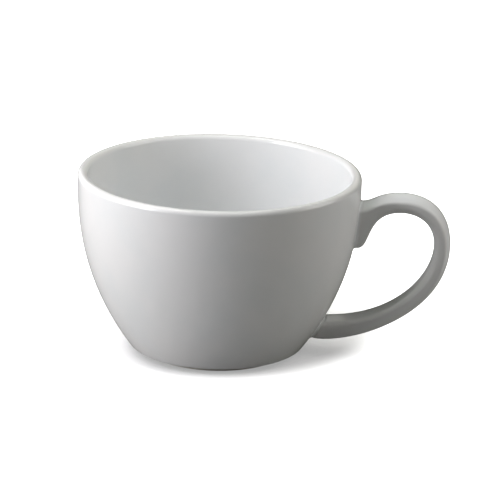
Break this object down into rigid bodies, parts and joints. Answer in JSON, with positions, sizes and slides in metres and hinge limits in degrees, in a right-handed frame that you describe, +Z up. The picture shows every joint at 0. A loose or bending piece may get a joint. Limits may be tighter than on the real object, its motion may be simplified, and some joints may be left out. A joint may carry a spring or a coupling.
{
  "type": "cappuccino cup",
  "caption": "Low, wide cup in white glazed porcelain: full rounded bowl with a rolled lip, narrow recessed foot ring and a looped strap handle for one finger.",
  "frame": {"origin": "on the bowl's axis, in the plane that the foot ring stands on", "axes": "+Z up along the bowl's axis, +X from the axis towards the handle, which lies in the XZ plane"},
  "size_m": [0.132, 0.1, 0.0655],
  "materials": {
    "bowl_glaze": "clear glaze over white porcelain, soft gloss",
    "handle_glaze": "clear glaze over white porcelain, soft gloss",
    "slip_glaze": "sponged slip under the same clear glaze"
  },
  "bodies": {
    "root": {"bowl": "bowl_glaze", "handle": "handle_glaze", "upper_handle_joint": "slip_glaze", "lower_handle_joint": "slip_glaze"}
  },
  "joints": []
}
